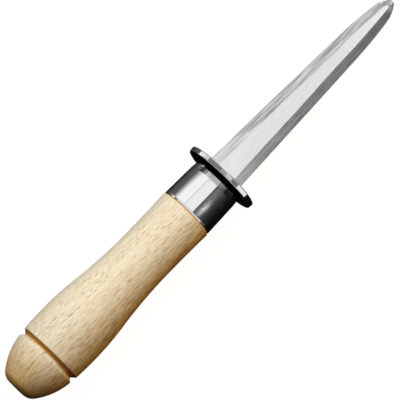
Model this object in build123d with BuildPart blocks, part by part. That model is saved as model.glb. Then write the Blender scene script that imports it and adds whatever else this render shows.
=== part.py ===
from build123d import *
from math import hypot
import os

# An oyster knife: a stiff bevelled blade, a round guard, a drawn ferrule and a turned beech handle.
# It lies along X with its point at +X and the flat of the blade facing up. The origin is on the turning axis,
# at the front face of the guard, where the blade begins. Lengths are in millimetres.

# Blade, measured from the front face of the guard
blade_length = 89.6
blade_thickness = 3.0
base_width = 14.8
taper_length = 64.0  # the straight-sided stretch
taper_width = 10.7  # across the edges where the straight sides end
nose_length = 6.9  # the last curve, back from the point
nose_width = 7.7  # across the edges where that curve begins
point_width = 1.7  # the blunt end, before its corners are rounded
point_rounding = 0.7
edge_land = 0.8  # the edges are blunt, this thick
bevel_width = 3.45
nose_bevel_width = 2.85
facet_length = 2.9  # from the end of the flat to the point
facet_width = 1.5  # across the end of the flat
facet_rounding = 0.4

# Tang, one piece with the blade
tang_length = 62.0
tang_end_width = 4.0
tang_thickness = 2.8
shoulder_width = 3.9  # each step between the base of the blade and the tang
tang_chamfer = 1.0

# Guard
guard_diameter = 30.0
guard_thickness = 2.0
guard_rounding = 0.5
slot_clearance = 0.1  # round the tang, in the guard and in the ferrule

# Ferrule, a drawn cup that opens towards the handle
ferrule_length = 17.5
mouth_diameter = 21.35
nose_diameter = 20.4  # at the closed end, before its corner is rounded
ferrule_wall = 0.9
ferrule_shoulder = 1.5
mouth_chamfer_length = 0.6
mouth_chamfer_depth = 0.35
tenon_clearance = 0.05  # the glue line between the ferrule and the wood

# Handle, measured from the mouth of the ferrule or from the butt
handle_length = 87.0
neck_step = 0.15  # how far the wood stands proud of the ferrule
neck_softening = 0.2
waist_place = 20.0  # from the ferrule
waist_diameter = 20.95
bulb_place = 27.0  # from the butt
bulb_diameter = 26.15
turn_share = 0.62  # of the way from waist to bulb, where the hollow curve becomes the round one
groove_place = 16.0  # from the butt to the bottom of the groove
groove_diameter = 22.0  # at the bottom of the groove
lip_diameter = 25.55  # beside the groove, on the side of the bulb
dome_diameter = 24.85  # beside the groove, on the side of the butt
groove_run_share = 0.89  # run of each wall of the groove to its depth
lip_softening = 0.25
dome_radius = 25.3
butt_diameter = 11.4  # flat end of the dome, before its corner is rounded
butt_rounding = 5.0
hole_clearance = 0.5  # round the corners of the tang, filled by the resin
hole_spare_length = 2.0  # beyond the end of the tang
hole_cone_share = 0.58  # depth of the drilled cone at the end of the hole to its radius

# Places along the knife
guard_back = -guard_thickness
tenon_end = guard_back - ferrule_wall
mouth = guard_back - ferrule_length
butt = mouth - handle_length
hole_end = -tang_length - hole_spare_length

# Sizes that follow from the ones above
tang_root_width = base_width - 2 * shoulder_width
hole_radius = hypot(tang_root_width, tang_thickness) / 2 + hole_clearance
ferrule_slope = (mouth_diameter - nose_diameter) / 2 / ferrule_length
mouth_bore = mouth_diameter / 2 - ferrule_wall
nose_bore = nose_diameter / 2 + ferrule_slope * ferrule_wall - ferrule_wall

os.makedirs("parts", exist_ok=True)


# Outline of the blade at one height, from its widths at the base, the taper's end, the nose and the point
def blade_outline(height, base, taper, nose, point, length, rounding):
    with BuildSketch(Plane.XY.offset(height)) as outline:
        with BuildLine():
            side = Line((0, base / 2), (taper_length, taper / 2))
            belly = TangentArc(side @ 1, (blade_length - nose_length, nose / 2), tangent=side % 1)
            TangentArc(belly @ 1, (length, point / 2), tangent=belly % 1)
            mirror(about=Plane.XZ)
            Line((length, point / 2), (length, -point / 2))
            Line((0, base / 2), (0, -base / 2))
        make_face()
        fillet(outline.vertices().group_by(Axis.X)[-1], rounding)
    return outline.sketch


# Tapered tang, from the shoulders of the blade to its chamfered end
with BuildSketch(Plane.XY) as tang_outline:
    with BuildLine():
        Polyline(
            (0, 0),
            (0, tang_root_width / 2),
            (tang_chamfer - tang_length, tang_end_width / 2),
            (-tang_length, tang_end_width / 2 - tang_chamfer),
            (-tang_length, 0),
        )
        mirror(about=Plane.XZ)
    make_face()

# Slot that the tang passes through in the guard and in the end of the ferrule
with BuildSketch(Plane.YZ) as slot_outline:
    Rectangle(tang_root_width + 2 * slot_clearance, tang_thickness + 2 * slot_clearance)

# Half section of the hole in the handle, with the cone that the drill leaves
with BuildSketch(Plane.XY) as hole_section:
    with BuildLine():
        Polyline(
            (tenon_end, 0),
            (tenon_end, hole_radius),
            (hole_end, hole_radius),
            (hole_end - hole_cone_share * hole_radius, 0),
            close=True,
        )
    make_face()

# Blade: both bevels run from the blunt edge up to the flat
edge_outline = blade_outline(
    edge_land / 2, base_width, taper_width, nose_width, point_width, blade_length, point_rounding
)
flat_outline = blade_outline(
    blade_thickness / 2,
    base_width - 2 * bevel_width,
    taper_width - 2 * bevel_width,
    nose_width - 2 * nose_bevel_width,
    facet_width,
    blade_length - facet_length,
    facet_rounding,
)
with BuildPart() as blade:
    loft([edge_outline, flat_outline], ruled=True)
    extrude(edge_outline, amount=-edge_land / 2)
    mirror(about=Plane.XY)
    extrude(tang_outline.sketch, amount=tang_thickness / 2, both=True)
blade.part.label = "blade"
export_step(blade.part, "parts/blade.step")

# Guard: a disc with softened edges, clamped between the blade's shoulders and the ferrule
with BuildPart() as guard:
    with BuildSketch(Plane.YZ):
        Circle(guard_diameter / 2)
    extrude(amount=-guard_thickness)
    fillet(guard.edges(), guard_rounding)
    extrude(slot_outline.sketch, amount=tenon_end, mode=Mode.SUBTRACT)
guard.part.label = "guard"
export_step(guard.part, "parts/guard.step")

# Ferrule: a slightly tapered cup, its mouth chamfered and its closed end rounded
with BuildPart() as ferrule:
    with BuildSketch(Plane.XY) as cup:
        with BuildLine():
            Polyline(
                (guard_back, 0),
                (guard_back, nose_diameter / 2),
                (mouth, mouth_diameter / 2),
                (mouth, mouth_bore),
                (tenon_end, nose_bore),
                (tenon_end, 0),
                close=True,
            )
        make_face()
        fillet(cup.vertices().sort_by_distance((guard_back, nose_diameter / 2))[0], ferrule_shoulder)
    revolve(axis=Axis.X)
    rim = ferrule.edges().group_by(Axis.X)[0].sort_by(SortBy.RADIUS)[-1]
    rim_face = ferrule.faces().sort_by(Axis.X)[0]
    chamfer(rim, mouth_chamfer_depth, mouth_chamfer_length, reference=rim_face)
    extrude(slot_outline.sketch, amount=tenon_end, mode=Mode.SUBTRACT)
ferrule.part.label = "ferrule"
export_step(ferrule.part, "parts/ferrule.step")

# Handle: tenon, waist, bulb, groove and domed butt in one turning, with a blind hole for the tang
neck = (mouth, mouth_diameter / 2 + neck_step)
waist = (mouth - waist_place, waist_diameter / 2)
bulb = (butt + bulb_place, bulb_diameter / 2)
turn = tuple(w + turn_share * (b - w) for w, b in zip(waist, bulb))
groove = (butt + groove_place, groove_diameter / 2)
lip = (groove[0] + groove_run_share * (lip_diameter / 2 - groove[1]), lip_diameter / 2)
dome = (groove[0] - groove_run_share * (dome_diameter / 2 - groove[1]), dome_diameter / 2)

with BuildPart() as handle:
    with BuildSketch(Plane.XY) as turning:
        with BuildLine():
            Polyline(
                (butt, 0),
                (tenon_end, 0),
                (tenon_end, nose_bore - tenon_clearance),
                (mouth, mouth_bore - tenon_clearance),
                neck,
            )
            TangentArc(waist, neck, tangent=(1, 0))
            hollow = TangentArc(waist, turn, tangent=(-1, 0))
            TangentArc(turn, bulb, tangent=hollow % 1)
            TangentArc(bulb, lip, tangent=(-1, 0))
            Polyline(lip, groove, dome)
            RadiusArc(dome, (butt, butt_diameter / 2), -dome_radius)
            Line((butt, butt_diameter / 2), (butt, 0))
        make_face()
        fillet(turning.vertices().sort_by_distance(neck)[0], neck_softening)
        fillet([turning.vertices().sort_by_distance(corner)[0] for corner in (lip, dome)], lip_softening)
        fillet(turning.vertices().sort_by_distance((butt, butt_diameter / 2))[0], butt_rounding)
    revolve(axis=Axis.X)
    revolve(hole_section.sketch, axis=Axis.X, mode=Mode.SUBTRACT)
handle.part.label = "handle"
export_step(handle.part, "parts/handle.step")

# Resin cast round the tang in the handle
with BuildPart() as tang_resin:
    revolve(hole_section.sketch, axis=Axis.X)
    extrude(tang_outline.sketch, amount=tang_thickness / 2, both=True, mode=Mode.SUBTRACT)
tang_resin.part.label = "tang_resin"
export_step(tang_resin.part, "parts/tang_resin.step")
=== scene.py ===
import bmesh
import bpy
import numpy as np
from mathutils import Matrix


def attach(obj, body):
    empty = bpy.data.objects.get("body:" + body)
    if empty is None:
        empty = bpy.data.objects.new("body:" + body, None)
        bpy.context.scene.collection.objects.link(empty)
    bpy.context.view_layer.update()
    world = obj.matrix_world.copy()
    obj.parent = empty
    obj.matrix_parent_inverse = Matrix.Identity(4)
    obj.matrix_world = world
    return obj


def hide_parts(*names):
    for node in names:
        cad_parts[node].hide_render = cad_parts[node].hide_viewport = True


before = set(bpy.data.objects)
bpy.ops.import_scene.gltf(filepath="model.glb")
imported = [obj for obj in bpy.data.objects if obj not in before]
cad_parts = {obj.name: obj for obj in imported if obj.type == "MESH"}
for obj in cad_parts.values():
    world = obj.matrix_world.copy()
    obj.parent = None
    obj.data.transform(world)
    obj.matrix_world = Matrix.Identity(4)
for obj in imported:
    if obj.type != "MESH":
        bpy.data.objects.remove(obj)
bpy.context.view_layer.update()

mm = 0.001  # every size below is in millimetres, unless its note says otherwise
mergeDistance = 0.0005  # points of a mesh that are closer than this fall together
sharpAngle = 32.0  # degrees between faces, from which their edge shows as sharp

# Camera: looks down on the knife, turned so that it lies from the lower left to the upper right
cameraView = {
    "target": (-12.18, -0.22, 0.0),
    "distance": 1000.0,
    "tilt": 7.8,  # degrees off square to the blade, towards the butt
    "turn": 45.817,  # degrees, the slope of the knife in the picture
    "lens": 250.3,
    "sensor": 36.0,
}


def newObject(name, data):
    thing = bpy.data.objects.new(name, data)
    bpy.context.collection.objects.link(thing)
    return thing


def makeCamera(view):
    tilt, turn = np.radians((view["tilt"], view["turn"]))
    along = np.array((np.cos(tilt), 0.0, np.sin(tilt)))
    across = np.array((0.0, 1.0, 0.0))
    away = np.cross(along, across)
    place = np.eye(4)
    place[:3, 0] = np.cos(turn) * along - np.sin(turn) * across
    place[:3, 1] = np.sin(turn) * along + np.cos(turn) * across
    place[:3, 2] = away
    place[:3, 3] = (np.array(view["target"]) + view["distance"] * away) * mm
    camera = newObject("camera", bpy.data.cameras.new("camera"))
    camera.data.lens = view["lens"]
    camera.data.sensor_width = view["sensor"]
    camera.data.clip_start = 0.01
    camera.data.clip_end = 20.0
    camera.matrix_world = Matrix(place.tolist())
    bpy.context.scene.camera = camera


makeCamera(cameraView)
print("camera placed")


# Arc that leaves start along heading and ends at end: radius = chord squared / (2 * chord along the heading's
# normal), centre = start + radius * normal, and it turns by twice the angle from heading to chord
def arcBetween(start, end, heading, count=300):
    start, end, heading = (np.asarray(value, float) for value in (start, end, heading))
    heading = heading / np.hypot(*heading)
    normal = np.array((-heading[1], heading[0]))
    chord = end - start
    radius = chord @ chord / (2 * chord @ normal)
    turn = 2 * np.arctan2(chord @ normal, chord @ heading)
    angle = np.linspace(0, turn, count)[:, None]
    points = start + radius * normal + radius * (np.sin(angle) * heading - np.cos(angle) * normal)
    leaving = np.cos(turn) * heading + np.sin(turn) * normal
    return points, leaving


# Straight stretch from start to end
def straightRun(start, end, count=60):
    share = np.linspace(0, 1, count)[:, None]
    return (1 - share) * np.asarray(start, float) + share * np.asarray(end, float)


def straightRuns(*points):
    return [straightRun(start, end) for start, end in zip(points, points[1:])]


# Points along a stretch between two distances from its ends, closer together near both ends:
# distance = first + span * (1 - cos(pi * share)) / 2
def resample(points, count, fromStart=0.0, fromEnd=0.0):
    along = np.concatenate(((0.0,), np.cumsum(np.hypot(*np.diff(points, axis=0).T))))
    share = (1 - np.cos(np.pi * np.linspace(0, 1, count))) / 2
    wanted = fromStart + (along[-1] - fromEnd - fromStart) * share
    return np.column_stack([np.interp(wanted, along, column) for column in points.T])


# Stretches joined end to end: a corner with a reach is cut back that far on both sides and bridged by the
# curve (1-s)^2 * cut + 2 s (1-s) * corner + s^2 * cut; one without is a smooth join
def joinRuns(runs, reaches, counts, cornerCount=7):
    cuts = (0.0, *reaches, 0.0)
    parts = [resample(run, counts[k], cuts[k], cuts[k + 1]) for k, run in enumerate(runs)]
    share = np.linspace(0, 1, cornerCount)[1:-1, None]
    joined = [parts[0]]
    for k, reach in enumerate(reaches):
        start, corner, end = parts[k][-1], runs[k][-1], parts[k + 1][0]
        curve = (1 - share) ** 2 * start + 2 * share * (1 - share) * corner + share**2 * end
        joined += [curve, parts[k + 1]] if reach > 0 else [parts[k + 1][1:]]
    return np.concatenate(joined)


# How sharply a profile turns at each point, 0 on plain stretches and 1 on a worn corner:
# turn in radians per millimetre * gain - 0.2, held between 0 and 1
def edgeMark(profile, gain=0.5):
    steps = np.diff(profile, axis=0)
    heading = np.unwrap(np.arctan2(steps[:, 1], steps[:, 0]))
    length = np.hypot(*steps.T)
    bend = np.abs(np.diff(heading)) / np.maximum((length[1:] + length[:-1]) / 2, 1e-3)
    return np.clip(np.pad(bend, 1) * gain - 0.2, 0, 1)


def newMesh(name, grid, quads):
    mesh = bpy.data.meshes.new(name)
    mesh.from_pydata((grid.reshape(-1, 3) * mm).tolist(), [], quads.reshape(-1, 4).tolist())
    return mesh


# Mesh from a grid of points, ring after ring, each ring closed on itself and the rings closed where told;
# marks are values per point that the finishes read. Points that fall together are merged, faces look outwards
def meshFromGrid(name, grid, closed, marks):
    rings, sides = grid.shape[:2]
    index = np.arange(rings * sides).reshape(rings, sides)
    if closed:
        index = np.concatenate((index, index[:1]))
    following = np.roll(index, -1, axis=1)
    quads = np.stack((index[:-1], following[:-1], following[1:], index[1:]), axis=-1)
    mesh = newMesh(name, grid, quads)
    for markName, values in marks.items():
        layer = mesh.attributes.new(markName, "FLOAT", "POINT")
        layer.data.foreach_set("value", np.broadcast_to(values, (rings, sides)).ravel().astype(np.float32))
    shape = bmesh.new()
    shape.from_mesh(mesh)
    bmesh.ops.remove_doubles(shape, verts=shape.verts, dist=mergeDistance * mm)
    if shape.calc_volume(signed=True) < 0:
        bmesh.ops.reverse_faces(shape, faces=shape.faces)
    shape.to_mesh(mesh)
    shape.free()
    mesh.shade_smooth()
    mesh.set_sharp_from_angle(angle=np.radians(sharpAngle))
    return newObject(name, mesh)


# Distance from the axis to the wall of a rectangular slot: the smaller of half width / |cos a| and
# half height / |sin a|
def slotDistance(angles, slot):
    sideways = slot[0] / np.maximum(np.abs(np.cos(angles)), 1e-9)
    upwards = slot[1] / np.maximum(np.abs(np.sin(angles)), 1e-9)
    return np.minimum(sideways, upwards)


# Turned piece: a profile point (x, r) at angle a goes to (x, r cos a, r sin a), and r is at least the
# distance to the slot's wall where the piece has a slot
def turnPiece(name, profile, sides, closed=False, slot=None, marks=None):
    angles = np.linspace(0, 2 * np.pi, sides, endpoint=False)
    radius = profile[:, 1:] + 0 * angles
    if slot:
        corner = np.arctan2(slot[1], slot[0])
        corners = (corner, np.pi - corner, np.pi + corner, 2 * np.pi - corner)
        angles = np.unique(np.concatenate((angles, corners)))
        radius = np.maximum(profile[:, 1:], slotDistance(angles, slot))
    grid = np.stack((profile[:, :1] + 0 * radius, radius * np.cos(angles), radius * np.sin(angles)), axis=-1)
    return meshFromGrid(name, grid, closed, {key: value[:, None] for key, value in (marks or {}).items()})


def dress(piece, node, finish):
    piece.data.materials.append(finish)
    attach(piece, "root")
    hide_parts(node)


# Gives a node its inputs, which are values or the outputs of other nodes
def setInputs(tree, node, inputs):
    for key, value in inputs.items():
        if isinstance(value, bpy.types.NodeSocket):
            tree.links.new(value, node.inputs[key])
        else:
            node.inputs[key].default_value = value


# kind is the node's type without the ShaderNode before it
def addNode(tree, kind, inputs=None, **settings):
    node = tree.nodes.new("ShaderNode" + kind)
    for key, value in settings.items():
        setattr(node, key, value)
    setInputs(tree, node, inputs or {})
    return node


def calculate(tree, operation, first, second=0.0, third=0.0):
    return addNode(tree, "Math", {0: first, 1: second, 2: third}, operation=operation).outputs[0]


def times(tree, first, second):
    return calculate(tree, "MULTIPLY", first, second)


# value * factor + base
def timesPlus(tree, value, factor, base):
    return calculate(tree, "MULTIPLY_ADD", value, factor, base)


# Value between 0 and 1 spread evenly about a middle
def spreadAbout(tree, value, middle, spread):
    return timesPlus(tree, value, spread, middle - spread / 2)


def vectorMath(tree, operation, first, second):
    return addNode(tree, "VectorMath", {0: first, 1: second}, operation=operation).outputs[0]


# One colour over another, as far as a share of a mask says
def tint(tree, under, over, mask, share=1.0):
    inputs = {0: times(tree, mask, share), 6: under, 7: over}
    return addNode(tree, "Mix", inputs, data_type="RGBA").outputs[2]


# Value carried from one range to another, held at its ends
def stretchRange(tree, value, fromLow, fromHigh, toLow=0.0, toHigh=1.0, smooth=False):
    inputs = {"Value": value, "From Min": fromLow, "From Max": fromHigh, "To Min": toLow, "To Max": toHigh}
    kind = "SMOOTHSTEP" if smooth else "LINEAR"
    return addNode(tree, "MapRange", inputs, interpolation_type=kind).outputs[0]


# Linear colour from the values seen on a screen
def screenColor(red, green, blue):
    seen = np.array((red, green, blue)) / 255
    linear = np.where(seen <= 0.04045, seen / 12.92, ((seen + 0.055) / 1.055) ** 2.4)
    return (*linear.tolist(), 1.0)


# New group with a place and other inputs: its tree, what it is given, and the socket for its one result
def newGroup(name, output, **inputs):
    tree = bpy.data.node_groups.new(name, "ShaderNodeTree")
    for key, default in {"Place": (0.0, 0.0, 0.0), **inputs}.items():
        kind = "NodeSocketVector" if isinstance(default, tuple) else "NodeSocketFloat"
        tree.interface.new_socket(name=key, in_out="INPUT", socket_type=kind).default_value = default
    tree.interface.new_socket(name=output, in_out="OUTPUT", socket_type="NodeSocketFloat")
    return tree, tree.nodes.new("NodeGroupInput").outputs, tree.nodes.new("NodeGroupOutput").inputs[output]


# Result of a group at a place
def useGroup(tree, group, place, **inputs):
    return addNode(tree, "Group", {"Place": place, **inputs}, node_tree=group).outputs[0]


# Noise whose marks have a given size along each axis
def sizedNoise(tree, given, **settings):
    scaled = vectorMath(tree, "DIVIDE", given["Place"], given["Size"])
    return addNode(tree, "TexNoise", {"Vector": scaled, "Scale": 1.0, **settings}).outputs[0]


def makeGrainGroup():
    tree, given, result = newGroup("grain", "Grain", Size=(1.0, 1.0, 1.0))
    noise = sizedNoise(tree, given, Detail=4.0, Roughness=0.6)
    tree.links.new(stretchRange(tree, noise, 0.25, 0.75), result)
    return tree


# Sparse thin scratches: the narrow bands where a stretched noise passes its middle, broken up by another
def makeScratchGroup():
    tree, given, result = newGroup("scratches", "Scratch", Size=(1.0, 1.0, 1.0), Width=0.02, Share=0.4)
    noise = sizedNoise(tree, given, Detail=1.0, Roughness=0.4)
    middle = calculate(tree, "ABSOLUTE", calculate(tree, "SUBTRACT", noise, 0.5))
    line = calculate(tree, "SUBTRACT", 1.0, calculate(tree, "DIVIDE", middle, given["Width"]))
    patches = addNode(tree, "TexNoise", {"Vector": given["Place"], "Scale": 0.35, "Detail": 2.0})
    shown = calculate(tree, "LESS_THAN", patches.outputs[0], given["Share"])
    tree.links.new(times(tree, calculate(tree, "MAXIMUM", line, 0.0), shown), result)
    return tree


# Edge wear: the mesh's edge mark, broken up by a fine noise
def makeWearGroup():
    tree, given, result = newGroup("edgeWear", "Wear", Edge=0.0, Amount=1.0)
    noise = addNode(tree, "TexNoise", {"Vector": given["Place"], "Scale": 1.4, "Detail": 4.0})
    broken = stretchRange(tree, noise.outputs[0], 0.35, 0.6)
    tree.links.new(times(tree, times(tree, broken, given["Edge"]), given["Amount"]), result)
    return tree


# Marks of handling: broad soft smudges, from -1 to 1
def makeSmudgeGroup():
    tree, given, result = newGroup("smudges", "Smudge", Size=(6.0, 6.0, 6.0))
    noise = sizedNoise(tree, given, Detail=3.0, Distortion=0.6)
    tree.links.new(stretchRange(tree, noise, 0.3, 0.7, -1.0, 1.0), result)
    return tree


grainGroup = makeGrainGroup()
scratchGroup = makeScratchGroup()
wearGroup = makeWearGroup()
smudgeGroup = makeSmudgeGroup()


def endFinish(tree, shader):
    addNode(tree, "OutputMaterial", {"Surface": shader.outputs[0]})


# Place on the object itself, in metres
def ownPlace(tree):
    return addNode(tree, "TexCoord").outputs["Object"]


# A new finish with an empty tree
def newTree(name):
    finish = bpy.data.materials.new(name)
    finish.use_nodes = True
    finish.node_tree.nodes.clear()
    return finish, finish.node_tree


# A new finish for a piece: its tree, its shader, and the place on the piece in millimetres
def newFinish(name):
    finish, tree = newTree(name)
    shader = addNode(tree, "BsdfPrincipled")
    endFinish(tree, shader)
    place = addNode(tree, "VectorMath", {0: ownPlace(tree), "Scale": 1 / mm}, operation="SCALE").outputs[0]
    return finish, tree, shader, place


def readMark(tree, name):
    return addNode(tree, "Attribute", attribute_name=name).outputs["Fac"]


def grain(tree, place, size):
    return useGroup(tree, grainGroup, place, Size=size)


def smudges(tree, place, look):
    return useGroup(tree, smudgeGroup, place, Size=look["smudgeSize"])


def scratches(tree, place, look):
    size, width, share = look["scratchSize"], look["scratchWidth"], look["scratchShare"]
    return useGroup(tree, scratchGroup, place, Size=size, Width=width, Share=share)


def edgeWear(tree, place, look):
    return useGroup(tree, wearGroup, place, Edge=readMark(tree, "edge"), Amount=look["wear"])


# Relief: distance is the height in millimetres that a value of 1 stands for
def relief(tree, height, distance, strength=1.0, invert=False):
    inputs = {"Height": height, "Distance": distance * mm, "Strength": strength}
    return addNode(tree, "Bump", inputs, invert=invert).outputs[0]


# Blade
bladeShape = {
    "length": 89.6,
    "thickness": 3.0,
    "baseWidth": 14.8,
    "taperLength": 64.0,  # straight-sided stretch
    "taperWidth": 10.7,
    "noseLength": 6.9,  # last curve, back from the point
    "noseWidth": 7.7,
    "pointWidth": 1.7,
    "pointReach": 0.3,  # how far the corners of the blunt end are cut back
    "edgeThickness": 0.8,
    "bevelWidth": 3.45,
    "noseBevelWidth": 2.85,
    "facetLength": 2.9,  # from the end of the flat to the point
    "facetWidth": 1.5,
    "facetReach": 0.2,
    "cornerReach": 0.1,  # softening of the lines between land, bevel and flat
    "groundWave": 0.07,  # how far the hand-ground lines wander
    "waveStart": 4.0,  # length over which the wandering sets in
    "waveEnd": 12.0,  # length over which it dies out, that far before the point
    "heelLength": 26.0,  # where the grinding starts lightly, from the base
    "tangLength": 62.0,
    "tangRootWidth": 7.0,
    "tangEndWidth": 4.0,
    "tangThickness": 2.8,
    "tangChamfer": 1.0,
}


# Half outline of the blade at one height, from the base to the middle of its blunt end: straight, then two
# tangent arcs, then square across
def bladeOutline(shape, base, taper, nose, point, length, reach):
    noseStart = (shape["length"] - shape["noseLength"], nose / 2)
    side = straightRun((0, base / 2), (shape["taperLength"], taper / 2))
    belly, heading = arcBetween(side[-1], noseStart, side[-1] - side[0])
    tip = arcBetween(noseStart, (length, point / 2), heading)[0]
    end = straightRun((length, point / 2), (length, 0))
    return joinRuns((side, belly, tip, end), (0, 0, reach), (76, 26, 22, 6))


# Rings of eight corners, one ring a station: edge, flat, flat and edge on the upper side, the same below.
# Each side of a ring is sampled at fixed shares, and its corners are cut back and bridged by one middle
# point. The lines between bevels and flat wander by the sum of two sines of the place along the blade
def bladeGrid(shape):
    inset, noseInset = 2 * shape["bevelWidth"], 2 * shape["noseBevelWidth"]
    edge = bladeOutline(
        shape, shape["baseWidth"], shape["taperWidth"], shape["noseWidth"], shape["pointWidth"],
        shape["length"], shape["pointReach"],
    )
    flat = bladeOutline(
        shape, shape["baseWidth"] - inset, shape["taperWidth"] - inset, shape["noseWidth"] - noseInset,
        shape["facetWidth"], shape["length"] - shape["facetLength"], shape["facetReach"],
    )
    run = flat[:, 0]
    setIn = np.clip(run / shape["waveStart"], 0, 1)
    fade = setIn * np.clip((shape["length"] - run) / shape["waveEnd"] - 1, 0, 1)
    upperWave = np.sin(run / 5.3 + 0.4) + 0.6 * np.sin(run / 2.1 + 1.0)
    lowerWave = np.sin(run / 6.1 + 2.0) + 0.5 * np.sin(run / 1.7)
    upper, lower = (flat[:, 1] + shape["groundWave"] * fade * wave for wave in (upperWave, lowerWave))
    high, land = shape["thickness"] / 2, shape["edgeThickness"] / 2

    def corners(edgeX, edgeY, flatX, leftY, rightY, landZ, flatZ):
        sides = (
            (edgeX, edgeY, -landZ), (edgeX, edgeY, landZ), (flatX, leftY, flatZ), (flatX, -rightY, flatZ),
            (edgeX, -edgeY, landZ), (edgeX, -edgeY, -landZ), (flatX, -rightY, -flatZ), (flatX, leftY, -flatZ),
        )
        points = [np.stack(np.broadcast_arrays(*map(np.atleast_1d, side)), axis=-1) for side in sides]
        return np.stack(points, axis=1)

    body = corners(edge[:, 0], edge[:, 1], flat[:, 0], upper, lower, land, high)
    rootHalf, endHalf = shape["tangRootWidth"] / 2, shape["tangEndWidth"] / 2
    tangEnd = -shape["tangLength"]
    tangX = np.concatenate((np.linspace(0, shape["tangChamfer"] + tangEnd, 24), (tangEnd, tangEnd)))
    tangY = np.interp(-tangX, (0, shape["tangLength"] - shape["tangChamfer"]), (rootHalf, endHalf))
    tangY[-2:] = (endHalf - shape["tangChamfer"], 0)
    tang = corners(tangX, tangY, tangX, tangY, tangY, land, shape["tangThickness"] / 2)
    ring = np.concatenate((tang[::-1], body))
    following = np.roll(ring, -1, axis=1)
    length = np.linalg.norm(following - ring, axis=-1, keepdims=True)
    cut = np.minimum(shape["cornerReach"] / np.maximum(length, 1e-6), 0.3)[..., None]
    share = np.array((0, 0.04, 0.25, 0.5, 0.75, 0.96, 1))[:, None]
    position = cut + (1 - 2 * cut) * share
    sides = ring[:, :, None] * (1 - position) + following[:, :, None] * position
    middle = 0.25 * np.roll(sides, 1, axis=1)[:, :, -1] + 0.5 * ring + 0.25 * sides[:, :, 0]
    return np.concatenate((middle[:, :, None], sides), axis=2).reshape(len(ring), -1, 3)


# Marks of the blade for each column of its rings: ground is 1 on the bevels, edge is 1 on the softened
# corners. Heel is 1 at the base and 0 from the heel's length on: 1 - x / length
def bladeMarks(shape, grid):
    bevel = np.array((0, 1, 0, 1, 0, 1, 0, 1))
    corner = (bevel + np.roll(bevel, 1))[:, None] / 2
    ground = np.concatenate((corner, np.repeat(bevel[:, None], 7, axis=1)), axis=1)
    edge = np.tile((1, 0.7, 0, 0, 0, 0, 0, 0.7), (8, 1))
    heel = np.clip(1 - grid[:, :, 0] / shape["heelLength"], 0, 1)
    return {"ground": ground.reshape(1, -1), "edge": edge.reshape(1, -1), "heel": heel}


bladeFinish = {
    "flatColor": screenColor(247, 247, 247),
    "groundColor": screenColor(238, 239, 240),
    "streakColor": screenColor(96, 97, 99),
    "wornColor": screenColor(225, 225, 225),
    "flatRoughness": 0.24,
    "flatSpread": 0.05,  # from the least to the most roughness
    "groundRoughness": 0.38,
    "groundSpread": 0.16,
    "streakSize": (13.0, 0.36, 0.36),  # one grinding line
    "streakRange": (0.39, 0.63),  # from no line to a full one
    "streakTone": 0.8,
    "streakDepth": 0.010,
    "groundDepth": 0.98,  # share of that depth that the lines have on the bevels
    "flatDepth": 0.03,  # and on the flat
    "reliefStrength": 0.8,
    "patchSize": (8.0, 1.2, 1.2),  # patches where the lines are darker
    "patchRange": (0.62, 0.82),  # strength of the lines from patch to patch
    "heelTone": 0.85,  # how far the base of the bevels keeps the flat's colour
    "polishSize": (5.0, 0.22, 0.22),
    "polishTone": 0.06,
    "smudgeSize": (9.0, 5.0, 5.0),
    "smudgeRoughness": 0.03,
    "scratchSize": (7.0, 1.1, 1.1),
    "scratchWidth": 0.012,
    "scratchShare": 0.45,
    "scratchTone": 0.16,
    "scratchDepth": 0.08,  # as a share of the lines' depth
    "wear": 0.6,
}


def makeBladeFinish(look):
    finish, tree, shader, place = newFinish("groundSteel")
    ground = readMark(tree, "ground")
    streaks = grain(tree, place, look["streakSize"])
    patches = grain(tree, place, look["patchSize"])
    polish = grain(tree, place, look["polishSize"])
    smudge = smudges(tree, place, look)
    scratch = scratches(tree, place, look)
    wear = edgeWear(tree, place, look)
    lines = stretchRange(tree, streaks, *look["streakRange"])
    lines = times(tree, lines, stretchRange(tree, patches, 0.0, 1.0, *look["patchRange"]))
    groundTone = tint(tree, look["groundColor"], look["streakColor"], lines, look["streakTone"])
    groundTone = tint(tree, groundTone, look["flatColor"], readMark(tree, "heel"), look["heelTone"])
    flatTone = tint(tree, look["flatColor"], look["streakColor"], polish, look["polishTone"])
    flatTone = tint(tree, flatTone, look["streakColor"], scratch, look["scratchTone"])
    tone = tint(tree, flatTone, groundTone, ground)
    tone = tint(tree, tone, look["wornColor"], wear)
    flatRough = spreadAbout(tree, polish, look["flatRoughness"], look["flatSpread"])
    flatRough = timesPlus(tree, smudge, look["smudgeRoughness"], flatRough)
    groundRough = spreadAbout(tree, lines, look["groundRoughness"], look["groundSpread"])
    rough = addNode(tree, "Mix", {0: ground, 2: flatRough, 3: groundRough}).outputs[0]
    depth = timesPlus(tree, ground, look["groundDepth"] - look["flatDepth"], look["flatDepth"])
    height = timesPlus(tree, scratch, -look["scratchDepth"], times(tree, streaks, depth))
    normal = relief(tree, height, look["streakDepth"], look["reliefStrength"])
    setInputs(tree, shader, {"Base Color": tone, "Metallic": 1.0, "Roughness": rough, "Normal": normal})
    return finish


bladeRings = bladeGrid(bladeShape)
blade = meshFromGrid("bladeGround", bladeRings, False, bladeMarks(bladeShape, bladeRings))
dress(blade, "blade", makeBladeFinish(bladeFinish))
print("blade made")

# Guard
guardShape = {
    "diameter": 30.0,
    "thickness": 2.0,
    "frontRounding": 0.45,
    "rearRounding": 0.22,
    "rimSlope": 8.0,  # degrees, the punched rim is that much smaller towards the back
    "slot": (3.6, 1.5),  # half width and half height
    "slotReach": 4.2,  # first whole ring outside the slot
    "shadeReach": 14.2,
    "shadeFade": 1.6,
    "sides": 192,
}


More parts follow.
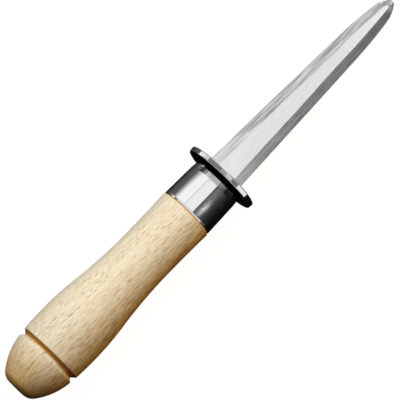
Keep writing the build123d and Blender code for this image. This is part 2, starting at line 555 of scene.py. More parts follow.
# Section of the disc, closed: slot, front face, rounded rim, rear face, slot
def guardProfile(shape):
    rim, back = shape["diameter"] / 2, -shape["thickness"]
    rearRim = rim + back * np.tan(np.radians(shape["rimSlope"]))
    runs = straightRuns((0, shape["slotReach"]), (0, rim), (back, rearRim), (back, shape["slotReach"]))
    outside = joinRuns(runs, (shape["frontRounding"], shape["rearRounding"]), (14, 7, 14), cornerCount=9)
    return np.concatenate((((0, 0),), outside, ((back, 0),)))


# Painted shade on the rear face, where guard and ferrule shade each other: full out to the ferrule, then
# (outer reach - r) / fade
def guardCornerShade(shape, profile):
    behind = profile[:, 0] < -shape["thickness"] + 0.01
    return np.clip((shape["shadeReach"] - profile[:, 1]) / shape["shadeFade"], 0, 1) * behind


# Polished metal with smudges, fine scratches, worn edges and painted shade in the corner where guard and
# ferrule meet
def makePolishedFinish(name, look):
    finish, tree, shader, place = newFinish(name)
    smudge = smudges(tree, place, look)
    fine = grain(tree, place, look["grainSize"])
    scratch = scratches(tree, place, look)
    wear = edgeWear(tree, place, look)
    tone = tint(tree, look["color"], look["dullColor"], fine, look["grainTone"])
    tone = tint(tree, tone, look["dullColor"], scratch, look["scratchTone"])
    tone = tint(tree, tone, look["wornColor"], wear)
    # painted shade in the corner where guard and ferrule meet
    tone = tint(tree, tone, look["cornerShadeColor"], readMark(tree, "corner"))
    rough = timesPlus(tree, smudge, look["smudgeRoughness"], look["roughness"])
    rough = timesPlus(tree, scratch, look["scratchRoughness"], rough)
    rough = timesPlus(tree, wear, look["wornRoughness"], rough)
    height = timesPlus(tree, fine, look["grainHeight"], times(tree, smudge, look["waveHeight"]))
    height = timesPlus(tree, scratch, -look["scratchDepth"], height)
    normal = relief(tree, height, 1.0)
    setInputs(tree, shader, {"Base Color": tone, "Metallic": 1.0, "Roughness": rough, "Normal": normal})
    return finish


polishedMetal = {
    "color": screenColor(231, 231, 232),
    "dullColor": screenColor(170, 170, 172),
    "wornColor": screenColor(240, 240, 240),
    "cornerShadeColor": screenColor(58, 54, 52),  # painted shade where guard and ferrule meet, dark as their shaded corner
    "scratchDepth": 0.001,  # depths and heights are in millimetres
    "scratchTone": 0.5,
    "scratchRoughness": 0.2,  # added to the roughness, as the next is where the metal is worn
    "wornRoughness": 0.08,
    "wear": 0.7,
}

guardFinish = {
    **polishedMetal,
    "roughness": 0.065,
    "smudgeRoughness": 0.025,
    "smudgeSize": (4.0, 4.0, 4.0),
    "waveHeight": 0.004,
    "grainSize": (0.5, 0.9, 0.9),
    "grainTone": 0.12,
    "grainHeight": 0.0006,
    "scratchSize": (1.4, 3.5, 3.5),
    "scratchWidth": 0.012,
    "scratchShare": 0.42,
}

guardOutline = guardProfile(guardShape)
guardMarks = {"edge": edgeMark(guardOutline), "corner": guardCornerShade(guardShape, guardOutline)}
guard = turnPiece("guardDisc", guardOutline, guardShape["sides"], True, guardShape["slot"], guardMarks)
dress(guard, "guard", makePolishedFinish("polishedGuard", guardFinish))
print("guard made")

# Ferrule
ferruleShape = {
    "front": -2.0,  # closed end, against the guard
    "length": 17.5,
    "mouthDiameter": 21.35,
    "noseDiameter": 20.4,
    "wall": 0.9,
    "coneLength": 1.95,
    "coneSlope": 4.5,  # degrees, more than the ferrule's own taper
    "shoulderLength": 3.0,
    "shoulderDepth": 0.65,
    "shoulderReach": 0.45,
    "shadeReach": 1.5,
    "shadeFade": 0.8,
    "chamferLength": 0.8,
    "chamferDepth": 0.47,
    "slot": (3.6, 1.5),
    "slotReach": 4.2,
    "sides": 192,
}


# Section of the cup, closed: slot, closed end, drawn shoulder, short cone, tapered outside, chamfer, mouth,
# bore, inside of the closed end, slot. The shoulder is part of the ellipse (length * sin u, depth * cos u),
# from where it leans like the cone, tan u = tan lean * length / depth, to its end at 90 degrees
def ferruleProfile(shape):
    front, mouth = shape["front"], shape["front"] - shape["length"]
    nose, opening = shape["noseDiameter"] / 2, shape["mouthDiameter"] / 2
    slope = (opening - nose) / shape["length"]
    length, depth = shape["shoulderLength"], shape["shoulderDepth"]
    leaning = slope + np.tan(np.radians(shape["coneSlope"]))
    first = np.arctan(leaning * length / depth)
    coneFront = front - length * (1 - np.sin(first))
    coneRear = coneFront - shape["coneLength"]
    rearR = nose + slope * (front - coneRear)
    frontR = rearR - shape["coneLength"] * leaning
    turn = np.linspace(np.pi / 2, first, 40)
    shoulderX = front - length * (1 - np.sin(turn))
    shoulderR = frontR - depth * (np.cos(first) - np.cos(turn))
    shoulder = np.column_stack((shoulderX, shoulderR))
    inner, bore = front - shape["wall"], opening - shape["wall"]
    rest = straightRuns(
        shoulder[-1],
        (coneRear, rearR),
        (mouth + shape["chamferLength"], opening - slope * shape["chamferLength"]),
        (mouth, opening - shape["chamferDepth"]),
        (mouth, bore),
        (inner, bore - slope * (shape["length"] - shape["wall"])),
        (inner, shape["slotReach"]),
    )
    profile = joinRuns(
        (straightRun((front, shape["slotReach"]), shoulder[0]), shoulder, *rest),
        (shape["shoulderReach"], 0, 0.12, 0.08, 0.06, 0.05, 0.3),
        (12, 16, 8, 40, 5, 4, 14, 10),
    )
    return np.concatenate((((front, 0),), profile, ((inner, 0),)))


# Painted shade on the shoulder, in the corner beside the guard: from nothing at its outer end to full beside
# the guard
def ferruleCornerShade(shape, profile):
    return np.clip((profile[:, 0] - shape["front"] + shape["shadeReach"]) / shape["shadeFade"], 0, 1)


ferruleFinish = {
    **polishedMetal,
    "dullColor": screenColor(170, 171, 173),
    "roughness": 0.05,
    "smudgeRoughness": 0.02,
    "smudgeSize": (8.0, 4.0, 4.0),
    "waveHeight": 0.0015,
    "grainSize": (0.35, 2.2, 2.2),
    "grainTone": 0.10,
    "grainHeight": 0.0004,
    "scratchSize": (5.0, 1.6, 1.6),
    "scratchWidth": 0.010,
    "scratchShare": 0.40,
}

ferruleOutline = ferruleProfile(ferruleShape)
ferruleMarks = {"edge": edgeMark(ferruleOutline), "corner": ferruleCornerShade(ferruleShape, ferruleOutline)}
ferrule = turnPiece(
    "ferruleCup", ferruleOutline, ferruleShape["sides"], True, ferruleShape["slot"], ferruleMarks
)
dress(ferrule, "ferrule", makePolishedFinish("polishedFerrule", ferruleFinish))
print("ferrule made")

# Handle
handleShape = {
    "mouth": -19.5,  # where the ferrule ends
    "length": 87.0,
    "tenonEnd": -2.9,
    "tenonMouthRadius": 9.725,
    "tenonNoseRadius": 9.275,
    "neckDiameter": 21.65,
    "neckReach": 0.2,
    "waistPlace": 20.0,  # from the ferrule
    "waistDiameter": 20.95,
    "bulbPlace": 27.0,  # from the butt
    "bulbDiameter": 26.15,
    "turnShare": 0.62,
    "groovePlace": 16.0,
    "grooveDiameter": 22.0,
    "lipDiameter": 25.55,
    "domeDiameter": 24.85,
    "grooveRunShare": 0.89,
    "lipReach": 0.25,
    "grooveReach": 0.15,
    "domeRadius": 25.3,
    "buttDiameter": 11.4,
    "buttRounding": 5.0,
    "holeRadius": 4.27,
    "holeEnd": -64.0,
    "holeCone": 2.48,
    "burnAndShadeStart": -0.3,  # the band of burn and painted shade in the groove, from the bottom of the groove towards the bulb
    "burnAndShadeRise": 1.2,
    "burnAndShadeEnd": 1.65,
    "burnAndShadeFade": 0.4,
    "neckShade": 0.3,  # how much painted shade the wood has beside the ferrule, where the ferrule shades it
    "neckShadeLength": 0.4,
    "neckShadeRadius": 10.025,  # and it goes no further in than this
    "endGrainStart": 1.0,  # the end grain shows from here, behind the bottom of the groove
    "endGrainRise": 0.8,
    "sides": 192,
}


# Section of the turning from the bottom of the hole to the middle of the butt: hole, tenon, neck, waist and
# bulb as tangent arcs, V groove, dome arc, and a rounding tangent to the dome and to the flat butt, whose
# centre is one rounding inside both
def handleProfile(shape):
    mouth, butt = shape["mouth"], shape["mouth"] - shape["length"]
    neck = np.array((mouth, shape["neckDiameter"] / 2))
    waist = np.array((mouth - shape["waistPlace"], shape["waistDiameter"] / 2))
    bulb = np.array((butt + shape["bulbPlace"], shape["bulbDiameter"] / 2))
    turn = waist + shape["turnShare"] * (bulb - waist)
    groove = np.array((butt + shape["groovePlace"], shape["grooveDiameter"] / 2))
    lipRise = shape["lipDiameter"] / 2 - groove[1]
    domeRise = shape["domeDiameter"] / 2 - groove[1]
    lip = groove + (shape["grooveRunShare"] * lipRise, lipRise)
    dome = groove + (-shape["grooveRunShare"] * domeRise, domeRise)
    neckArc = arcBetween(waist, neck, (1, 0))[0][::-1]
    hollow, heading = arcBetween(waist, turn, (-1, 0))
    swell = arcBetween(turn, bulb, heading)[0]
    back = arcBetween(bulb, lip, (-1, 0))[0]
    chord = np.array((butt, shape["buttDiameter"] / 2)) - dome
    half = np.arcsin(np.hypot(*chord) / 2 / shape["domeRadius"])
    slope = np.arctan2(chord[1], chord[0]) - half
    heading = np.array((np.cos(slope), np.sin(slope)))
    centre = dome + shape["domeRadius"] * np.array((-heading[1], heading[0]))
    inner = shape["domeRadius"] - shape["buttRounding"]
    cornerX = butt + shape["buttRounding"]
    corner = np.array((cornerX, centre[1] + np.sqrt(inner**2 - (cornerX - centre[0]) ** 2)))
    touch = centre + (corner - centre) * shape["domeRadius"] / inner
    domeArc, heading = arcBetween(dome, touch, heading)
    rounding = arcBetween(touch, (butt, corner[1]), heading)[0]
    hidden = straightRuns(
        (shape["holeEnd"] - shape["holeCone"], 0),
        (shape["holeEnd"], shape["holeRadius"]),
        (shape["tenonEnd"], shape["holeRadius"]),
        (shape["tenonEnd"], shape["tenonNoseRadius"]),
        (mouth, shape["tenonMouthRadius"]),
        neck,
    )
    end = straightRun((butt, corner[1]), (butt, 0))
    runs = (*hidden, neckArc, hollow, swell, back, *straightRuns(lip, groove, dome), domeArc, rounding, end)
    lipReach, grooveReach = shape["lipReach"], shape["grooveReach"]
    reaches = (0.1, 0.1, 0.2, 0.05, shape["neckReach"], 0, 0, 0, lipReach, grooveReach, lipReach, 0, 0)
    counts = (4, 12, 6, 12, 6, 26, 40, 34, 18, 10, 10, 36, 20, 8)
    return joinRuns(runs, reaches, counts)


# Marks of the handle along its profile: end grain is how far the surface faces along the knife; burn with
# painted shade grows along the groove's wall towards the bulb and fades out just beyond it, and painted shade
# marks the last bit beside the ferrule. The groove's walls keep the colour of the sides
def handleMarks(shape, profile):
    step = np.gradient(profile, axis=0)
    endGrain = np.abs(step[:, 1]) / np.maximum(np.hypot(*step.T), 1e-6)
    grooveX = shape["mouth"] - shape["length"] + shape["groovePlace"]
    past = profile[:, 0] - grooveX  # from the bottom of the groove towards the bulb
    rise = np.clip((past - shape["burnAndShadeStart"]) / shape["burnAndShadeRise"], 0, 1)
    fall = np.clip((shape["burnAndShadeEnd"] - past) / shape["burnAndShadeFade"], 0, 1)
    outside = profile[:, 1] > shape["neckShadeRadius"]
    # painted shade on the wood's end beside the ferrule
    neck = np.clip(1 - (shape["mouth"] - profile[:, 0]) / shape["neckShadeLength"], 0, 1) * outside
    burnAndShade = np.maximum(rise * fall, shape["neckShade"] * neck)
    endGrain = endGrain * np.clip((-shape["endGrainStart"] - past) / shape["endGrainRise"], 0, 1)
    return {"edge": edgeMark(profile), "endGrain": endGrain, "burnAndShade": burnAndShade}


beechFinish = {
    "paleColor": screenColor(237, 228, 208),
    "tanColor": screenColor(233, 216, 184),
    "ringColor": screenColor(211, 182, 138),
    "fleckColor": screenColor(150, 102, 56),
    "streakColor": screenColor(190, 146, 96),
    "endColor": screenColor(249, 195, 97),
    "endStreakAndShadeColor": screenColor(106, 62, 25),
    "buttColor": screenColor(120, 78, 38),
    "honeyColor": screenColor(226, 160, 62),  # where the burn and the painted shade at the groove begin
    "burnAndShadeColor": screenColor(132, 76, 24),
    "pithPlace": (0.0, 6.0, -52.0),  # the middle of the tree, under the visible face
    "pithTilt": (0.0, 0.035, 0.02),  # radians
    "ringWidth": 2.1,
    "followRadius": 13.0,  # the grain's pattern is spread out to this radius, so that it follows the turning
    "leastRadius": 9.5,
    "fleckSize": (3.9, 0.45, 0.45),  # spacing of the ray flecks
    "fleckShift": (0.0, 0.37, 0.61),  # each row is moved along by that share of a spacing
    "fleckShare": 0.68,
    "fleckReach": (0.22, 0.42),  # smallest and largest, as a share of the spacing
    "fleckRim": 0.1,  # soft rim, as a share of the spacing
    "fleckTones": (0.25, 0.85),  # palest and darkest
    "fleckTilt": 0.05,  # radians
    "fibreSize": (3.4, 0.27, 0.27),
    "streakSize": (9.0, 0.65, 0.65),
    "bandSize": (60.0, 5.0, 5.0),
    "grainRange": (0.42, 0.92),  # from no fibre or streak to a full one
    "endGrainRange": (0.12, 0.8),  # how far the surface faces along the knife, from side grain to end grain
    "crossCutRange": (0.55, 0.95),  # the same, from there to the dark butt
    "smudgeSize": (14.0, 9.0, 9.0),
    "bandTone": 0.7,  # a tone is how far its colour covers the one under it
    "ringTone": 0.18,
    "endTone": 0.9,
    "buttTone": 0.8,
    "endGrainAndShadeTone": 0.35,
    "paintedShadeSide": (-2.0, -10.0, 0.0, 0.9),  # places across the handle, and how much painted shade its shaded side gets there, as the end grain's deeper tone and stronger streaks
    "domeShadeSide": (2.0, -7.0, 0.0, 0.5),  # places across the dome, and how much painted shade its end grain gets there on the shaded side
    "streakTone": 0.34,
    "streakEndGrainAndShade": 0.35,  # added to that on end grain and on the painted shaded side
    "fibreTone": 0.58,
    "fibreEndGrainAndShade": 0.55,
    "honeyTone": 2.2,
    "honeyMost": 0.9,
    "burnAndShadeTone": 0.8,
    "wornTone": 0.5,
    "wear": 0.5,
    "roughness": 0.52,
    "roughnessSpread": 0.10,
    "smudgeRoughness": 0.04,
    "reliefDepth": 0.03,
    "reliefStrength": 0.8,
    "fibreHeight": 0.5,  # as a share of that depth, as the next
    "fleckDepth": 0.6,
    "coat": {"IOR": 1.42, "Specular IOR Level": 0.2},
}


# Annual rings round the pith: the period of the wave texture's rings is 2 pi / (20 * scale)
def annualRings(tree, place, look):
    toPith = tuple(-value for value in look["pithPlace"])
    inputs = {"Vector": place, "Location": toPith, "Rotation": look["pithTilt"]}
    fromPith = addNode(tree, "Mapping", inputs).outputs[0]
    scale = 2 * np.pi / 20 / look["ringWidth"]
    inputs = {"Vector": fromPith, "Scale": scale, "Distortion": 2.2, "Detail": 2.0, "Detail Scale": 0.6}
    kind = {"wave_type": "RINGS", "rings_direction": "X", "wave_profile": "SAW"}
    return addNode(tree, "TexWave", inputs, **kind).outputs["Fac"]


# Place for the grain: every point is moved out or in to one radius, x stays, so that the pattern follows the
# turning, and it is tilted a little
def followTurning(tree, place, sides, look):
    radius = addNode(tree, "CombineXYZ", {1: sides[1], 2: sides[2]}).outputs[0]
    radius = addNode(tree, "VectorMath", {0: radius}, operation="LENGTH").outputs["Value"]
    radius = calculate(tree, "MAXIMUM", radius, look["leastRadius"])
    spread = calculate(tree, "DIVIDE", look["followRadius"], radius)
    spread = addNode(tree, "CombineXYZ", {0: 1.0, 1: spread, 2: spread}).outputs[0]
    followed = vectorMath(tree, "MULTIPLY", place, spread)
    inputs = {"Vector": followed, "Rotation": (0.0, 0.0, look["fleckTilt"])}
    return addNode(tree, "Mapping", inputs).outputs[0]


# Ray flecks, one in a cell at most: the cell's colour gives the chance of a fleck, its reach and its darkness
def rayFlecks(tree, turned, look):
    cells = vectorMath(tree, "DIVIDE", turned, look["fleckSize"])
    shift = addNode(tree, "VectorMath", {0: cells, 1: look["fleckShift"]}, operation="DOT_PRODUCT")
    moved = addNode(tree, "CombineXYZ", {0: shift.outputs["Value"]}).outputs[0]
    cells = vectorMath(tree, "ADD", cells, moved)
    spots = addNode(tree, "TexVoronoi", {"Vector": cells, "Scale": 1.0, "Randomness": 0.85})
    chances = addNode(tree, "SeparateColor", {0: spots.outputs["Color"]}).outputs
    least = 1 - look["fleckShare"]
    reach = stretchRange(tree, chances[0], least, 1.0, *look["fleckReach"])
    reach = times(tree, reach, calculate(tree, "GREATER_THAN", chances[0], least))
    depth = calculate(tree, "SUBTRACT", reach, spots.outputs["Distance"])
    fleck = stretchRange(tree, depth, 0.0, look["fleckRim"], smooth=True)
    return fleck, times(tree, fleck, stretchRange(tree, chances[1], 0.0, 1.0, *look["fleckTones"]))


def makeBeechFinish(look):
    finish, tree, shader, place = newFinish("oiledBeech")
    sides = addNode(tree, "SeparateXYZ", {0: place}).outputs
    turned = followTurning(tree, place, sides, look)
    rings = annualRings(tree, place, look)
    fleck, fleckTone = rayFlecks(tree, turned, look)
    fibres = grain(tree, turned, look["fibreSize"])
    streaks = grain(tree, turned, look["streakSize"])
    fibreShare, streakShare = (stretchRange(tree, value, *look["grainRange"]) for value in (fibres, streaks))
    bands = grain(tree, turned, look["bandSize"])
    smudge = smudges(tree, place, look)
    wear = edgeWear(tree, place, look)
    facing = readMark(tree, "endGrain")
    endGrain = stretchRange(tree, facing, *look["endGrainRange"])
    crossCut = stretchRange(tree, facing, *look["crossCutRange"])
    burnAndShade = readMark(tree, "burnAndShade")
    tone = tint(tree, look["paleColor"], look["tanColor"], bands, look["bandTone"])
    tone = tint(tree, tone, look["ringColor"], rings, look["ringTone"])
    tone = tint(tree, tone, look["endColor"], endGrain, look["endTone"])
    tone = tint(tree, tone, look["buttColor"], crossCut, look["buttTone"])
    # end grain, and painted shade on the handle's shaded side towards -Y: deeper, warmer tone and stronger
    # streaks
    endGrainAndShade = calculate(tree, "MAXIMUM", endGrain, stretchRange(tree, sides[1], *look["paintedShadeSide"]))
    tone = tint(tree, tone, look["endColor"], endGrainAndShade, look["endGrainAndShadeTone"])
    # painted shade: the dome's end grain darkened on its shaded side towards -Y
    darker = times(tree, endGrain, stretchRange(tree, sides[1], *look["domeShadeSide"]))
    tone = tint(tree, tone, look["endStreakAndShadeColor"], darker)
    streakTint = tint(tree, look["streakColor"], look["endStreakAndShadeColor"], endGrainAndShade)
    streakTone = timesPlus(tree, endGrainAndShade, look["streakEndGrainAndShade"], look["streakTone"])
    fibreTone = timesPlus(tree, endGrainAndShade, look["fibreEndGrainAndShade"], look["fibreTone"])
    tone = tint(tree, tone, streakTint, streakShare, streakTone)
    tone = tint(tree, tone, streakTint, fibreShare, fibreTone)
    tone = tint(tree, tone, look["fleckColor"], fleckTone)
    # burn at the groove, partly real burn and partly painted shade on its wall, and painted shade beside the
    # ferrule
    honey = calculate(tree, "MINIMUM", times(tree, burnAndShade, look["honeyTone"]), look["honeyMost"])
    tone = tint(tree, tone, look["honeyColor"], honey)
    tone = tint(tree, tone, look["burnAndShadeColor"], burnAndShade, look["burnAndShadeTone"])
    tone = tint(tree, tone, look["paleColor"], wear, look["wornTone"])
    rough = spreadAbout(tree, fibres, look["roughness"], look["roughnessSpread"])
    rough = timesPlus(tree, smudge, look["smudgeRoughness"], rough)
    height = timesPlus(tree, fleck, -look["fleckDepth"], times(tree, fibres, look["fibreHeight"]))
    normal = relief(tree, height, look["reliefDepth"], look["reliefStrength"])
    setInputs(tree, shader, {"Base Color": tone, "Roughness": rough, "Normal": normal, **look["coat"]})
    return finish


handleOutline = handleProfile(handleShape)
handle = turnPiece(
    "handleTurning", handleOutline, handleShape["sides"], marks=handleMarks(handleShape, handleOutline)
)
dress(handle, "handle", makeBeechFinish(beechFinish))
print("handle made")

# Resin round the tang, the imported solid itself
resinFinish = {
    "color": screenColor(196, 160, 96),
    "deepColor": screenColor(138, 98, 46),
    "cloudSize": (6.0, 3.0, 3.0),
    "bubbleScale": 0.9,  # bubbles to a millimetre
    "bubbleReach": 0.22,  # as a share of their spacing
    "bubbleDepth": 0.08,
    "reliefStrength": 0.6,
    "roughness": 0.32,
    "roughnessSpread": 0.12,
    "coat": {"IOR": 1.5},
}


def makeResinFinish(look):
    finish, tree, shader, place = newFinish("castResin")
    clouds = grain(tree, place, look["cloudSize"])
    inputs = {"Vector": place, "Scale": look["bubbleScale"]}
    bubbles = addNode(tree, "TexVoronoi", inputs).outputs["Distance"]
    bubble = stretchRange(tree, bubbles, 0.0, look["bubbleReach"], 1.0, 0.0, smooth=True)
    tone = tint(tree, look["color"], look["deepColor"], clouds)
    rough = spreadAbout(tree, clouds, look["roughness"], look["roughnessSpread"])
    normal = relief(tree, bubble, look["bubbleDepth"], look["reliefStrength"], invert=True)
    setInputs(tree, shader, {"Base Color": tone, "Roughness": rough, "Normal": normal, **look["coat"]})
    return finish


resin = makeResinFinish(resinFinish)
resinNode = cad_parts["tang_resin"]
if resinNode.material_slots:
    resinNode.material_slots[0].material = resin
else:
    resinNode.data.materials.append(resin)
print("resin finished")

# Studio: soft boxes that light the knife, and cards that only polished metal sees
studio = {
    "reach": 500.0,  # distance of lamps and cards from the knife's axis
    "boxLength": 1000.0,
    # each lamp: from and to in degrees round the axis (0 straight above, minus to the left), place of its
    # middle along the knife, radiance of red, green and blue
    "lamps": (
        ("leftBox", -85.0, -40.0, 0.0, (1.52, 1.22, 0.81)),
        ("leftTopBox", -40.0, -20.0, 300.0, (2.22, 4.20, 6.65)),
        ("rightTopBox", -20.0, -5.0, 450.0, (3.00, 3.00, 2.00)),
        ("rightBox", -5.0, 27.0, 560.0, (4.00, 2.30, 0.30)),
    ),
    "skyFill": (0.015, 0.01, 0.005, 1.0),
    "floorHalfSize": 2500.0,
    "floorHeight": -15.015,  # just under the guard
    "floorColor": (0.11, 0.08, 0.06, 1.0),
    "floorLift": 0.965,  # how white the floor looks near the knife
    "liftRange": (100.0, 450.0),  # distances from the origin where it begins to whiten and where it is white
    "cardHeight": -14.9,
    # level cards, which all have one grey that changes across the knife: from and to along the knife at the
    # right side, the same at the left side, and the places of those sides across it
    "floorGreys": ((-520, 0.02), (0, 0.003), (19, 0.004), (25, 0.045), (43, 0.10), (131, 0.13), (500, 0.12)),
    "floorCards": (
        ("floorCard", (-800, 400), (-800, 100), (-520, -30)),
        ("floorCardUnder", (-800, 67), (-800, 12), (-30, 75)),
        ("floorCardLeft", (-8, 110), (20, 900), (75, 500)),
    ),
    # each card: from and to along the knife, from and to in degrees, grey
    "cards": (
        ("leftPanel", (56, 112), (-66, -31.2), 1.13),
        ("seam", (56, 112), (-31.2, -28.4), 0.66),
        ("topPanel", (56, 97), (-28.4, 13.4), 1.06),
        ("topFront", (97, 136), (-28.4, 13.4), 0.80),
        ("topMiddle", (156, 186), (-28.4, 13.4), 0.52),
        ("topFar", (186, 500), (-28.4, 13.4), 1.12),
        ("rightFar", (400, 9000), (13.4, 100), 0.12),
        ("sideBack", (27, 56), (13.4, 50), 2.20),
        ("sideNear", (56, 97), (13.4, 20), 0.12),
        ("sideLowest", (56, 97), (80, 100), 0.012),
        ("rimLeft", (-80, 25), (-77, -62), 0.78),
        ("rimUpper", (-80, 25), (-62, -15), 0.24),
        ("rimTop", (-80, 25), (-15, 5), 0.42),
        ("rimMiddle", (-80, 25), (5, 26), 0.74),
        ("rimRight", (-80, 25), (26, 50), 0.20),
        ("backLeft", (-420, -80), (-92, 11), 0.012),
        ("backRight", (-420, -80), (11, 100), 0.012),
        ("frontRight", (97, 320), (50, 100), 0.015),
        ("leftLowFar", (300, 9000), (-92, -62), 0.03),
    ),
    # each graded card: from and to along the knife, from and to in degrees, the axis that its grey follows (0
    # along the knife, 1 across it, 2 up), its greys at places on that axis, and how it fades along the knife
    "gradedCards": (
        ("leftLow", (56, 112), (-92, -66), 2, (
            (-20, 0.26), (0, 0.28), (50, 0.42), (129, 0.86), (180, 1.13), (203, 1.13),
        ), (76, 98, 0.58)),
        ("leftLowFront", (112, 300), (-92, -66), 2, (
            (-20, 0.05), (50, 0.05), (129, 0.07), (165, 0.14), (185, 0.30), (203, 0.50),
        )),
        ("side", (56, 97), (20, 80), 1, (
            (-492, 0.02), (-457, 0.041), (-420, 0.065), (-372, 0.10), (-300, 0.16), (-250, 0.20),
            (-171, 0.17),
        )),
        ("leftFront", (112, 300), (-56, -28.4), 0, (
            (112, 0.90), (161, 0.90), (168, 0.62), (176, 0.40), (186, 0.40), (200, 0.70), (240, 0.55),
            (300, 0.50),
        )),
        ("leftFrontLow", (112, 300), (-66, -56), 0, (
            (112, 0.85), (140, 0.55), (155, 0.34), (170, 0.20), (185, 0.20), (210, 0.60), (240, 0.70),
            (300, 0.70),
        )),
        ("frontMiddle", (97, 400), (13.4, 50), 0, (
            (97, 0.17), (130, 0.09), (150, 0.03), (165, 0.04), (171, 0.15), (175, 0.30), (182, 0.24),
            (205, 0.14), (400, 0.10),
        )),
    ),
    # small bright patch before the side card: turn and half turn in degrees, the rest in millimetres
    "spark": {"turn": 39.0, "place": 75.2, "halfTurn": 21.0, "halfLength": 1.8, "reach": 490.0, "grey": 4.60},
}


# Lamp that faces the knife's axis, its power pi * area * radiance. Polished metal doesn't see it, because the
# cards stand for it there
def addLamp(name, first, last, middle, radiance, look):
    turn = np.radians((first + last) / 2)
    outward = np.array((0.0, -np.sin(turn), np.cos(turn)))
    along = np.array((1.0, 0.0, 0.0))
    lamp = bpy.data.lights.new(name, "AREA")
    lamp.shape = "RECTANGLE"
    lamp.size = look["boxLength"] * mm
    lamp.size_y = 2 * look["reach"] * np.tan(np.radians(last - first) / 2) * mm
    lamp.energy = np.pi * lamp.size * lamp.size_y
    lamp.color = radiance
    place = np.eye(4)
    place[:3, 0] = along
    place[:3, 1] = np.cross(outward, along)
    place[:3, 2] = outward
    place[:3, 3] = (look["reach"] * outward + middle * along) * mm
    holder = newObject(name, lamp)
    holder.matrix_world = Matrix(place.tolist())
    holder.visible_camera = False
    holder.visible_glossy = False


for lampFacts in studio["lamps"]:
    addLamp(*lampFacts, studio)


# Flat or curved sheet of the studio from a grid of points
def addSheet(name, grid, finish):
    rows, columns = grid.shape[:2]
    index = np.arange(rows * columns).reshape(rows, columns)
    quads = np.stack((index[:-1, :-1], index[1:, :-1], index[1:, 1:], index[:-1, 1:]), axis=-1)
    sheet = newObject(name, newMesh(name, grid, quads))
    sheet.data.materials.append(finish)
    return sheet


# Card that polished metal sees and nothing else
def addCard(name, grid, finish):
    card = addSheet(name, grid, finish)
    card.visible_camera = False
    card.visible_diffuse = False
    card.visible_shadow = False
    card.visible_transmission = False
    return card


# 1 for camera, glossy and transmission rays, 0 for the light that falls on things
def seenDirectly(tree):
    path = addNode(tree, "LightPath").outputs
    first = calculate(tree, "MAXIMUM", path["Is Camera Ray"], path["Is Glossy Ray"])
    return calculate(tree, "MAXIMUM", first, path["Is Transmission Ray"])


# Diffuse paper that also glows where it is seen directly, more so far from the knife
def makeFloorFinish(look):
    finish, tree = newTree("paleFloor")
    distance = addNode(tree, "VectorMath", {0: ownPlace(tree)}, operation="LENGTH").outputs["Value"]
    near, far = (value * mm for value in look["liftRange"])
    lift = stretchRange(tree, distance, near, far, look["floorLift"], 1.0)
    paper = addNode(tree, "BsdfDiffuse", {"Color": look["floorColor"]})
    glow = addNode(tree, "Emission", {"Strength": times(tree, seenDirectly(tree), lift)})
    endFinish(tree, addNode(tree, "AddShader", {0: paper.outputs[0], 1: glow.outputs[0]}))
    return finish


# One even grey
def makeGreyFinish(name, grey):
    finish, tree = newTree(name)
    endFinish(tree, addNode(tree, "Emission", {"Color": (grey, grey, grey, 1.0)}))
    return finish


# Grey that follows the place along one axis: stops are (millimetres, grey). It may also fade along the knife,
# between two places, to a share of itself
def makeGradedFinish(name, axis, stops, fading=None):
    finish, tree = newTree(name)
    sides = addNode(tree, "SeparateXYZ", {0: ownPlace(tree)}).outputs
    low, high = stops[0][0], stops[-1][0]
    ramp = addNode(tree, "ValToRGB", {0: stretchRange(tree, sides[axis], low * mm, high * mm)})
    elements = ramp.color_ramp.elements
    while len(elements) < len(stops):
        elements.new(0.5)
    for element, (place, grey) in zip(elements, stops):
        element.position = (place - low) / (high - low)
        element.color = (grey, grey, grey, 1.0)
    strength = 1.0
    if fading:
        strength = stretchRange(tree, sides[0], fading[0] * mm, fading[1] * mm, 1.0, fading[2])
    endFinish(tree, addNode(tree, "Emission", {"Color": ramp.outputs[0], "Strength": strength}))
    return finish


# Patch that is brightest in its middle and fades out to its rim; the mark "fade" is 1 in the middle
def makeSparkFinish(grey):
    finish, tree = newTree("spark")
    fade = stretchRange(tree, readMark(tree, "fade"), 0.0, 1.0, smooth=True)
    glow = addNode(tree, "Emission", {"Strength": times(tree, fade, grey)})
    clear = addNode(tree, "BsdfTransparent")
    endFinish(tree, addNode(tree, "MixShader", {0: fade, 1: clear.outputs[0], 2: glow.outputs[0]}))
    return finish


# Level sheet with four corners: from and to along the knife at its right side, the same at its left side, and
# the places of those two sides across the knife
def levelGrid(rightX, leftX, sidesY, height):
    x = np.column_stack((rightX, leftX)).astype(float)
    y = np.broadcast_to(sidesY, (2, 2))
    return np.stack((x, y, 0 * x + height), axis=-1)


# Points of a tube round the knife's axis: (x, -R sin a, R cos a)
def onTube(x, angle, radius):
    return np.stack((x, -radius * np.sin(angle), radius * np.cos(angle)), axis=-1)


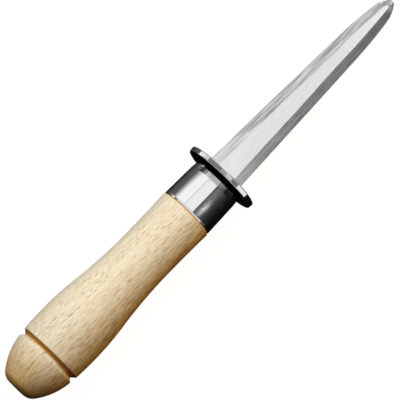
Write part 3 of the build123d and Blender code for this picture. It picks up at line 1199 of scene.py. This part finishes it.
def tunnelGrid(span, turns, radius, steps=24):
    x, angle = np.meshgrid(span, np.radians(np.linspace(*turns, steps)), indexing="ij")
    return onTube(x, angle, radius)


# Oval patch of that tube: rings of a share s of the half sizes, with points (x + s L cos b, turn + s W sin b)
def sparkGrid(spark, rings=8, sides=24):
    share, around = np.meshgrid(np.linspace(0, 1, rings), np.linspace(0, 2 * np.pi, sides), indexing="ij")
    x = spark["place"] + share * spark["halfLength"] * np.cos(around)
    angle = np.radians(spark["turn"] + share * spark["halfTurn"] * np.sin(around))
    return onTube(x, angle, spark["reach"]), 1 - share


def makeFloor(look):
    ends = (-look["floorHalfSize"], look["floorHalfSize"])
    addSheet("floor", levelGrid(ends, ends, ends, look["floorHeight"]), makeFloorFinish(look))


def makeCards(look):
    floorGrey = makeGradedFinish("floorCardGrey", 1, look["floorGreys"])
    for name, rightX, leftX, sidesY in look["floorCards"]:
        addCard(name, levelGrid(rightX, leftX, sidesY, look["cardHeight"]), floorGrey)
    for name, span, turns, grey in look["cards"]:
        addCard(name, tunnelGrid(span, turns, look["reach"]), makeGreyFinish(name, grey))
    for name, span, turns, axis, stops, *fading in look["gradedCards"]:
        finish = makeGradedFinish(name + "Grey", axis, stops, *fading)
        addCard(name, tunnelGrid(span, turns, look["reach"]), finish)


def makeSpark(spark):
    points, fade = sparkGrid(spark)
    card = addCard("spark", points, makeSparkFinish(spark["grey"]))
    layer = card.data.attributes.new("fade", "FLOAT", "POINT")
    layer.data.foreach_set("value", fade.ravel().astype(np.float32))


makeFloor(studio)
makeCards(studio)
makeSpark(studio["spark"])


# White where it is seen directly, a weak warm fill where it only lights
def makeWorld(look):
    world = bpy.data.worlds.new("studioWorld")
    bpy.context.scene.world = world
    world.use_nodes = True
    tree = world.node_tree
    tree.nodes.clear()
    color = tint(tree, look["skyFill"], (1.0, 1.0, 1.0, 1.0), seenDirectly(tree))
    sky = addNode(tree, "Background", {"Color": color, "Strength": 1.0})
    addNode(tree, "OutputWorld", {"Surface": sky.outputs[0]})


makeWorld(studio)
bpy.context.scene.view_settings.view_transform = "Standard"
print("studio lit")
